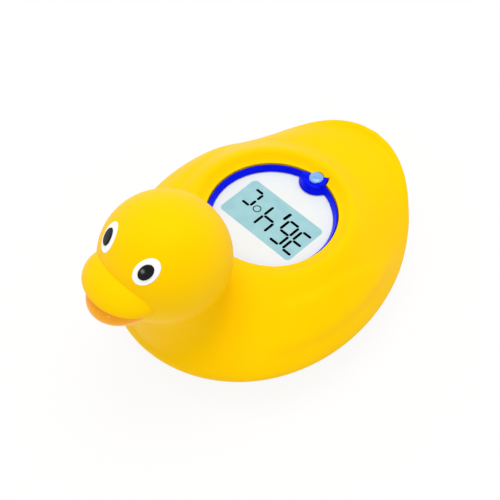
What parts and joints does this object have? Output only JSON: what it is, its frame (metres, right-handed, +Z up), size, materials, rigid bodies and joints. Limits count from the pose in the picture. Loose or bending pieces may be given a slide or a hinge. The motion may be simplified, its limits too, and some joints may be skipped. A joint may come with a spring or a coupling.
{
  "type": "baby bath thermometer",
  "caption": "Floating bath duck with a round digital display set in its back, a lamp lens on the display ring and a screwed battery door in its flat base.",
  "frame": {"origin": "middle of the bounding box on the base plane, where the flat of the hull rests", "axes": "+Z up, the duck faces -Y, its left side is +X"},
  "size_m": [0.0896, 0.1254, 0.0729],
  "materials": {
    "yellow_plastic": "satin moulded yellow plastic",
    "orange_plastic": "glossy orange plastic",
    "white_plastic": "smooth white plastic",
    "black_plastic": "glossy black",
    "blue_plastic": "saturated blue plastic",
    "lens_plastic": "light-blue translucent lens",
    "display_grey": "teal-grey display face",
    "board_green": "green laminate",
    "seal_rubber": "black seal rubber",
    "steel": "stainless steel",
    "battery_jacket": "plain dark battery sleeve"
  },
  "bodies": {
    "root": {"upper_shell": "yellow_plastic", "lower_hull": "yellow_plastic", "battery_door": "yellow_plastic", "lower_bill": "orange_plastic", "eye_left": "white_plastic", "eye_right": "white_plastic", "pupil_left": "black_plastic", "pupil_right": "black_plastic", "display_bezel": "blue_plastic", "display_panel": "white_plastic", "display_glass": "display_grey", "display_frame": "white_plastic", "contact_strip": "seal_rubber", "lamp_lens": "lens_plastic", "lamp_body": "white_plastic", "circuit_board": "board_green", "controller_chip": "black_plastic", "buzzer": "black_plastic", "module_cup": "white_plastic", "module_screw_1": "steel", "module_screw_2": "steel", "module_screw_3": "steel", "board_screw_1": "steel", "board_screw_2": "steel", "board_screw_3": "steel", "hull_seal": "seal_rubber", "hull_screw_1": "steel", "hull_screw_2": "steel", "hull_screw_3": "steel", "hull_screw_4": "steel", "door_seal": "seal_rubber", "door_screw_1": "steel", "door_screw_2": "steel", "battery_1": "battery_jacket", "battery_2": "battery_jacket", "battery_spring_1": "steel", "battery_spring_2": "steel", "contact_bridge": "steel", "terminal_minus": "steel", "terminal_plus": "steel", "water_contact_1": "steel", "water_contact_2": "steel", "probe_cap": "steel", "temperature_sensor": "black_plastic"}
  },
  "joints": []
}
